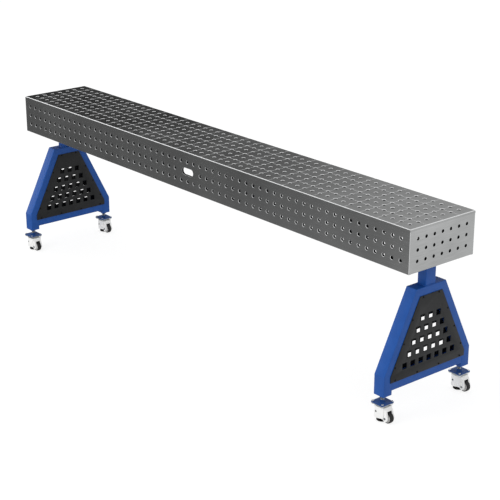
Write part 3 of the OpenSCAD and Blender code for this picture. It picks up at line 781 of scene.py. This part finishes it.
# Jack plates: a blue square of 5 mm plate with a turned boss, welded round a zinc-plated threaded
# spindle that screws up into the foot.
plate_half = 36
plate_round = 5
plate_bolts = 29
plate_hole_r = 3.3
adapter_t = 5
adapter_bevel = 0.6
boss_r = 12
boss_h = 9
boss_chamfer = 1
boss_weld_r = 1.6
thread_in_boss = 6


def castor_box(node):
    """Lowest and highest corners of a castor's node, measured from its swivel axis."""
    corner, at = next(iter(corners.items()))
    return [point - at.translation for point in box_mm(f"{corner}_{node}")]


def on_castors(*kinds):
    """Copies shapes made at the swivel axis to the four castors. Each kind gives its name, shape,
    body, slot, materials and the node that it stands for, or None."""
    for corner, at in corners.items():
        for name, shape, body, slot, materials, node in kinds:
            copy = shape.copy()
            copy.transform(at)
            piece(f"{corner}_{name}", copy, f"{corner}_{body}", slot, *materials,
                  stands_for=node and f"{corner}_{node}")


def square_plate(low, high, bevel):
    """The castor's square of plate with rounded corners and four bolt holes."""
    h = plate_half
    holes = [[(x + plate_hole_r * cos(a), y + plate_hole_r * sin(a))
              for a in (-pi * k / 12 for k in range(24))]
             for x in (-plate_bolts, plate_bolts) for y in (-plate_bolts, plate_bolts)]
    made = sheet([rounded(oblong(-h, h, -h, h, plate_round))] + holes, high - low, bevel)
    made.transform(Matrix.Translation((0, 0, (low + high) / 2)))
    return made


# Oil on the threads darkens the plating.
spindle_zinc = zinc_plate("spindle_zinc", "#8f9498", "#babec1")
jack_low, jack_high = castor_box("jack_plate")
adapter_top = jack_low.z + adapter_t
boss_top = adapter_top + boss_h
adapter = square_plate(jack_low.z, adapter_top, adapter_bevel)
skin(adapter, turned([(boss_r, adapter_top), (boss_r, boss_top - boss_chamfer),
                      (boss_r - boss_chamfer, boss_top), (spindle_r, boss_top),
                      (spindle_r, adapter_top)]), closed=True)
weld(adapter, [Vector(point) for point in turned([(boss_r, adapter_top)], 100)[0]], boss_weld_r)
spindle = bmesh.new()
threaded_rod(spindle, spindle_r, spindle_pitch, jack_low.z, jack_high.z,
             thread_low=boss_top - thread_in_boss)
on_castors(("adapter_plate", adapter, "jack", "blue_paint", [blue_nut], "jack_plate"),
           ("spindle", spindle, "jack", "turned_steel", [spindle_zinc], None))

# Castor bolts: four zinc-plated M6 hexagon bolts clamp each castor to its jack plate, with their
# heads on top and their nuts under the castor's plate.
small_r = 3
small_flats = 9.6
small_pitch = 1
castor_plate_t = 3
low, high = castor_box("castor_bolts")
plate_low = castor_box("castor_plate")[1].z - castor_plate_t
bolts = bmesh.new()
for x in (-plate_bolts, plate_bolts):
    for y in (-plate_bolts, plate_bolts):
        at = Matrix.Translation((x, y, 0))
        hexagon_head(bolts, small_flats, adapter_top, high.z, at)
        hexagon_head(bolts, small_flats, plate_low - nut_share * small_r, plate_low, at, small_r)
        threaded_rod(bolts, small_r, small_pitch, low.z, adapter_top, at, steps=16)
on_castors(("hexagon_bolts", bolts, "jack", "zinc_fasteners", [zinc], "castor_bolts"))

# Castor plates: pressed zinc-plated steel with a rolled ball race beneath and a central rivet
# that the housing swivels on.
castor_plate_bevel = 0.5
race_r = 24
race_wire = 1.7
race_drop = 2
rivet_r = 6
rivet_head_r = 9
rivet_head_h = 4
rivet_chamfer = 1
# Pressed sheet takes a duller plating than the bolts.
plate_zinc = zinc_plate("zinc_plate", "#9fa4a8", "#c2c6c8")
low, high = castor_box("castor_plate")
under = high.z - castor_plate_t
mounting = square_plate(under, high.z, castor_plate_bevel)
wire = [(race_r + race_wire * cos(b), under - race_drop + race_wire * sin(b))
        for b in (pi * k / 5 for k in range(10))]
skin(mounting, turned(wire), closed=True)
skin(mounting, turned([(rivet_head_r - rivet_chamfer, low.z),
                       (rivet_head_r, low.z + rivet_chamfer),
                       (rivet_head_r, low.z + rivet_head_h), (rivet_r, low.z + rivet_head_h),
                       (rivet_r, under)]))
on_castors(("mounting_plate", mounting, "jack", "zinc_plate", [plate_zinc], "castor_plate"))

# Castor housings: die-cast aluminium with soft edges, powder coated white, with two cheeks that
# hold the wheel. The faces inside the wheel well are coloured nearly black as painted shade. A
# zinc-plated turntable, riveted on top, runs under the ball race. The nose covers the levelling
# foot, and a screw sits in a recess on each side.
trail = 39
axle_z = 25
wheel_r = 25
nose_r = 18
house_half = 28
house_end = trail - 6
house_round = 2
house_wall = 4
cast_edge = 1.2
hollow_h = 18
arch_z = 22
skirt_low = 14
skirt_from = -16
skirt_to = 24
cheek_r = 14
cheek_half = 22.5
cheek_from = 8
tail_from = trail - 7
tail_to = trail + 4
tail_fall = 11
tail_round = 3
well_half = 12.5
well_gap = 3
well_from = trail - wheel_r - well_gap
well_top = 57
knob_r = 13
knob_gap = 1.5
knob_room_top = 21.3
sleeve_r = 9
sleeve_wall = 3
sleeve_below_top = 10
sleeve_top = 41
collar_room_r = 11
collar_room_top = 66
recess_x = -11
recess_z = 46
recess_r = 4.8
recess_depth = 3
recess_screw_r = 4.7
recess_screw_h = 1.6
recess_socket = 2.5
turntable_r = 30
turntable_h = 5
turntable_edge = 0.6
turntable_groove = 2.6
turntable_groove_half = 0.4
turntable_groove_depth = 0.7


def combined(first, *steps):
    """A shape joined with others or cut by them in turn. Each step is UNION or DIFFERENCE and
    the other shape."""
    def as_object(shape):
        mesh = bpy.data.meshes.new("part")
        bmesh.ops.remove_doubles(shape, verts=shape.verts, dist=same_point)
        bmesh.ops.recalc_face_normals(shape, faces=shape.faces)
        shape.to_mesh(mesh)
        shape.free()
        made = bpy.data.objects.new("part", mesh)
        scene.collection.objects.link(made)
        return made

    body = as_object(first)
    tools = [as_object(shape) for operation, shape in steps]
    for (operation, shape), tool in zip(steps, tools):
        step = body.modifiers.new("step", "BOOLEAN")
        step.operation, step.solver, step.object = operation, "EXACT", tool
    result = bmesh.new()
    result.from_object(body, bpy.context.evaluated_depsgraph_get())
    for part in [body, *tools]:
        mesh = part.data
        bpy.data.objects.remove(part)
        bpy.data.meshes.remove(mesh)
    return result


def drum(r, low, high, at=Matrix.Identity(4), steps=64):
    """A round solid of one radius, from low to high."""
    shape = bmesh.new()
    skin(shape, moved(turned([(r, low), (r, high)], steps), at))
    return shape


def soft_block(corners, low, high, edge):
    """An outline drawn up from low to high, with edges rounded by edge."""
    quarter = [pi / 2 * k / 3 for k in range(4)]
    levels = [(edge * (1 - sin(a)), low + edge * (1 - cos(a))) for a in quarter]
    levels += [(edge * (1 - cos(a)), high - edge * (1 - sin(a))) for a in quarter]
    shape = bmesh.new()
    skin(shape, [[(*p, z) for p in rounded(corners, inset, 8)] for inset, z in levels])
    return shape


def arc_corners(r, start, end):
    """Corners along an arc round the axle, in the plane of the wheel."""
    steps = 16
    angles = [radians(start + (end - start) * k / steps) for k in range(steps + 1)]
    return [(trail + r * cos(a), axle_z + r * sin(a), 0) for a in angles]


def at_recess(way, out):
    """The middle of the recess on one side, facing outwards, at a distance from the housing's
    middle."""
    return Matrix.Translation((recess_x, way * out, recess_z)) @ Matrix.Rotation(
        -way * pi / 2, 4, "X")


def castor_housing(low, top):
    """The white casting at the swivel axis, with the wheel trailing towards +X. The shapes that
    cut it pass the faces that they open."""
    plan = [(low.x, -house_half, nose_r), (house_end, -house_half, house_round),
            (house_end, house_half, house_round), (low.x, house_half, nose_r)]
    nose = soft_block(plan, low.z, top, cast_edge)
    arch = soft_block([(skirt_from, 10, 0), (house_end + 9, 10, 0), (house_end + 9, arch_z, 0),
                       (skirt_to, arch_z, 0), (skirt_from, skirt_low, 0)],
                      -house_half - 3, house_half + 3, 0.5)
    hollow = soft_block([(x + house_wall * (1 if x < 0 else -1),
                          y - house_wall * (1 if y > 0 else -1), max(r - house_wall, 1))
                         for x, y, r in plan], low.z - 8, low.z + hollow_h, 1)
    lobe_start = 180 + degrees(asin((axle_z - arch_z) / cheek_r))
    cheeks = soft_block([(cheek_from, arch_z, 1), *arc_corners(cheek_r, lobe_start, 360),
                         (tail_to, top - tail_fall, tail_round), (tail_from, top, tail_round),
                         (cheek_from, top, 1)], -cheek_half, cheek_half, cast_edge)
    well = soft_block([(well_from, -2, 0), (trail + 22, -2, 0), (trail + 22, well_top, 0),
                       (trail, well_top, 0), *arc_corners(wheel_r + well_gap, 90, 180)],
                      -well_half, well_half, 0.5)
    for shape in (arch, cheeks, well):
        shape.transform(Matrix.Rotation(pi / 2, 4, "X"))
    steps = [("DIFFERENCE", arch),
             ("DIFFERENCE", hollow),
             ("UNION", drum(sleeve_r + sleeve_wall, knob_room_top, top - sleeve_below_top)),
             ("UNION", cheeks),
             ("DIFFERENCE", well),
             ("DIFFERENCE", drum(knob_r + knob_gap, -2, knob_room_top)),
             ("DIFFERENCE", drum(sleeve_r + fit, knob_room_top - 1, sleeve_top)),
             ("DIFFERENCE", drum(collar_room_r, sleeve_top - 1, collar_room_top)),
             ("DIFFERENCE", drum(rivet_r + fit, collar_room_top - 1, top + 1, steps=48))]
    steps += [("DIFFERENCE", drum(recess_r, -recess_depth, recess_depth,
                                  at_recess(way, house_half), 32)) for way in (-1, 1)]
    return combined(nose, *steps)


white_cast = powder_coat("white_powder_coat", "#f3f3f2", "#f9f9f8", 0.38, peel=0.9,
                         peel_depth=0.06)
# The faces inside the well get a nearly black colour: painted shade, standing in for the shade there.
well_shade_paint = zinc_plate("well_painted_shade", "#1c1c1d", "#2a2a2b")
# Blackened steel screws, coloured near black so that they also stand in for the shade in their
# recesses: partly painted shade.
recess_screw_shade = zinc_plate("recess_screw_shade", "#101011", "#1c1c1e")
low, high = castor_box("swivel_housing")
house_top = high.z - turntable_h
casting = castor_housing(low, house_top)
# Faces inside the wheel well take the nearly black second material: painted shade.
for face in casting.faces:
    middle = face.calc_center_median()
    shaded_in_well = abs(middle.y) < well_half + 0.1 and middle.x > well_from + 0.5
    shaded_in_well = shaded_in_well and middle.z < well_top + 1 and face.normal.x < 0.5
    face.material_index = int(shaded_in_well)
screws = bmesh.new()
for way in (-1, 1):
    socket_head(screws, recess_screw_r, recess_screw_h, recess_socket,
                at_recess(way, house_half - recess_depth + 0.1))
groove_z = house_top + turntable_groove
turntable = bmesh.new()
skin(turntable, turned([
    (rivet_r + fit, house_top), (turntable_r - turntable_edge, house_top),
    (turntable_r, house_top + turntable_edge), (turntable_r, groove_z - turntable_groove_half),
    (turntable_r - turntable_groove_depth, groove_z),
    (turntable_r, groove_z + turntable_groove_half), (turntable_r, high.z - turntable_edge),
    (turntable_r - turntable_edge, high.z), (rivet_r + fit, high.z)], 96), closed=True)
on_castors(
    ("castor_housing", casting, "swivel", "white_housing", [white_cast, well_shade_paint],
     "swivel_housing"),
    ("recess_screws", screws, "swivel", "turned_steel", [recess_screw_shade], None),
    ("turntable", turntable, "swivel", "zinc_plate", [plate_zinc], None))

# Axle bolts: a plain turned steel pin through both cheeks carries each wheel, with a domed socket
# head on either side.
axle_r = 4
axle_head_r = 5
axle_head_h = 3
axle_socket = 4
on_axle = Matrix.Translation((trail, 0, axle_z)) @ Matrix.Rotation(pi / 2, 4, "X")
# Plain turned steel under a film of oil: darker than the plating.
axle_steel = zinc_plate("turned_axle_steel", "#73777a", "#9a9ea1")
axle = drum(axle_r, -cheek_half, cheek_half, on_axle, 32)
for turn in (0, pi):
    socket_head(axle, axle_head_r, axle_head_h, axle_socket,
                on_axle @ Matrix.Rotation(turn, 4, "X") @ Matrix.Translation((0, 0, cheek_half)))
on_castors(("axle", axle, "swivel", "turned_steel", [axle_steel], "axle_bolt"))

# Wheels: a moulded nylon hub with a recessed web and ribs, and a black polyurethane tyre cast
# round it, with a slight crown and rounded shoulders.
hub_r = 19.5
rim_r = 16.6
rim_half = 10.5
hub_boss_r = 8
hub_boss_half = 12
hub_edge = 0.6
web_half = 8
rib_count = 6
rib_half = 0.9
rib_top_half = 0.7
tyre_half = 11
shoulder_r = 21.8
shoulder_rise = 2.9
shoulder_width = 4.5
crown_half = 3


def moulded(name, low, high, roughness, grain, depth, gloss=0.35):
    """Moulded or cast plastic or rubber: a dull, even colour under the grain of a spark-eroded
    mould, drawn coarse enough to show."""
    patch = 20
    made, tree, place = surface(name)
    texture = add(tree, "TexNoise", {"Vector": place, "Scale": 1 / MM / grain, "Detail": 2})
    stain = add(tree, "TexNoise", {"Vector": place, "Scale": 1 / MM / patch, "Detail": 5})
    shade = add(tree, "MixRGB", {
        "Fac": add(tree, "MapRange", {"Value": stain, "From Min": 0.35, "From Max": 0.65}),
        "Color1": colour(low), "Color2": colour(high)})
    add(tree, "OutputMaterial", {"Surface": add(tree, "BsdfPrincipled", {
        "Base Color": shade, "Roughness": roughness, "Specular IOR Level": gloss,
        "Normal": add(tree, "Bump", {
            "Strength": 0.4, "Distance": depth * MM, "Height": texture})})})
    return made


def both_sides(profile):
    """A profile of (radius, height) followed by its mirror image below."""
    return profile + [(r, -z) for r, z in profile[::-1]]


nylon = moulded("moulded_nylon", "#dededb", "#e8e8e5", 0.5, 0.8, 0.05)
tread = moulded("cast_polyurethane", "#151516", "#1f1f20", 0.6, 1.2, 0.1)
hub_profile = [(axle_r + fit, hub_boss_half), (hub_boss_r - hub_edge, hub_boss_half),
               (hub_boss_r, hub_boss_half - hub_edge), (hub_boss_r + 0.4, web_half + 0.5),
               (hub_boss_r + 1, web_half), (rim_r - 1, web_half), (rim_r - 0.4, web_half + 0.5),
               (rim_r, rim_half - 0.5), (rim_r + 0.5, rim_half), (hub_r, rim_half)]
rib_foot = web_half - 1
rib_ends = ((hub_boss_r - 0.4, rim_half), (rim_r - 0.1, rim_half - 1))
tyre_profile = [(hub_r + fit, tyre_half - 0.4), (hub_r + 0.4, tyre_half), (shoulder_r, tyre_half)]
tyre_profile += [(shoulder_r + shoulder_rise * sin(a),
                  tyre_half - shoulder_width * (1 - cos(a)))
                 for a in (pi / 2 * k / 6 for k in range(1, 7))]
tyre_profile += [(wheel_r, crown_half)]
hub = bmesh.new()
skin(hub, moved(turned(both_sides(hub_profile)), on_axle), closed=True)
for way in (-1, 1):
    for k in range(rib_count):
        skin(hub, moved([[(r, -rib_half, way * rib_foot), (r, rib_half, way * rib_foot),
                          (r, rib_top_half, way * top), (r, -rib_top_half, way * top)]
                         for r, top in rib_ends],
                        on_axle @ Matrix.Rotation(2 * pi * k / rib_count, 4, "Z")))
tyre = bmesh.new()
skin(tyre, moved(turned(both_sides(tyre_profile), 96), on_axle), closed=True)
on_castors(("hub", hub, "wheel", "hub_plastic", [nylon], "wheel_hub"),
           ("tread", tyre, "wheel", "tyre_rubber", [tread], "tyre"))

# Adjusting wheels: black glass-filled nylon with finger grooves round the rim. Turning one
# screws the levelling foot down.
knob_h = 7
knob_edge = 0.8
groove_r = 2
groove_count = 12
knob_steps = groove_count * 12
collar_r = 10
collar_low = 40.3
collar_edge = 0.5
stem_r = 6


def grooved(z, inset):
    """A ring round the knob, moved inwards by inset, with its finger grooves."""
    ring = []
    for k in range(knob_steps):
        turn = 2 * pi * (k / knob_steps)
        off = (turn * groove_count / (2 * pi) + 0.5) % 1 - 0.5
        away = off * 2 * pi / groove_count * knob_r
        dip = sqrt(max(groove_r ** 2 - away ** 2, 0)) - groove_r / 2
        r = knob_r - inset - max(dip, 0)
        ring.append((r * cos(turn), r * sin(turn), z))
    return ring


knob_black = moulded("glass_filled_nylon", "#1b1c1d", "#262728", 0.5, 0.7, 0.08)
low, high = castor_box("adjusting_wheel")
top = low.z + knob_h
knob = [grooved(low.z, knob_edge), grooved(low.z + knob_edge, 0),
        grooved(top - knob_edge, 0), grooved(top, knob_edge)]
sleeve = turned([(sleeve_r, top), (sleeve_r, collar_low), (collar_r, collar_low),
                 (collar_r, high.z - collar_edge), (collar_r - collar_edge, high.z),
                 (stem_r + fit, high.z), (stem_r + fit, low.z)], knob_steps)
wheel = bmesh.new()
skin(wheel, knob + sleeve, closed=True)
on_castors(("hand_wheel", wheel, "knob", "black_plastic", [knob_black], "adjusting_wheel"))

# Levelling feet: a round rubber pad with one side hollowed to clear the wheel, ringed below for
# grip, on a threaded steel stem.
pad_r = 24
pad_h = 10.5
wheel_gap = 1.5
stem_pitch = 1.75
stem_lift = 2.5
pad_neck_r = 10
pad_neck_edge = 0.6
pad_steps = 72
rubber = moulded("moulded_rubber", "#0c0c0c", "#141414", 0.85, 0.9, 0.12, gloss=0.2)


def pad_ring(z, inset):
    """A ring round the pad, cut away on one side to follow the wheel."""
    pad_flat = trail - sqrt(wheel_r ** 2 - (wheel_r - z) ** 2) - wheel_gap
    ring = []
    for k in range(pad_steps):
        turn = 2 * pi * k / pad_steps
        r = pad_r - inset
        if cos(turn) * r > pad_flat - inset:
            r = (pad_flat - inset) / cos(turn)
        ring.append((r * cos(turn), r * sin(turn), z))
    return ring


low, high = castor_box("levelling_foot")
pad_top = low.z + pad_h
# The pad's profile from the middle of its underside, as (rise, inset).
pad_levels = [(0, 5), (1, 3.5), (0, 2), (0, 1.2), (0.6, 0.3), (1.6, 0), (3, 0), (5, 0), (7, 0),
              (8.5, 0), (9.3, 0.8), (10.2, 1.2)]
pad = bmesh.new()
skin(pad, [pad_ring(low.z + rise, inset) for rise, inset in pad_levels]
     + turned([(pad_neck_r, pad_top - 0.2), (pad_neck_r - pad_neck_edge, pad_top),
               (stem_r, pad_top)], pad_steps))
stem = bmesh.new()
threaded_rod(stem, stem_r, stem_pitch, low.z + stem_lift, high.z, thread_low=pad_top)
on_castors(("rubber_pad", pad, "foot", "foot_rubber", [rubber], "levelling_foot"),
           ("stem", stem, "foot", "turned_steel", [spindle_zinc], None))
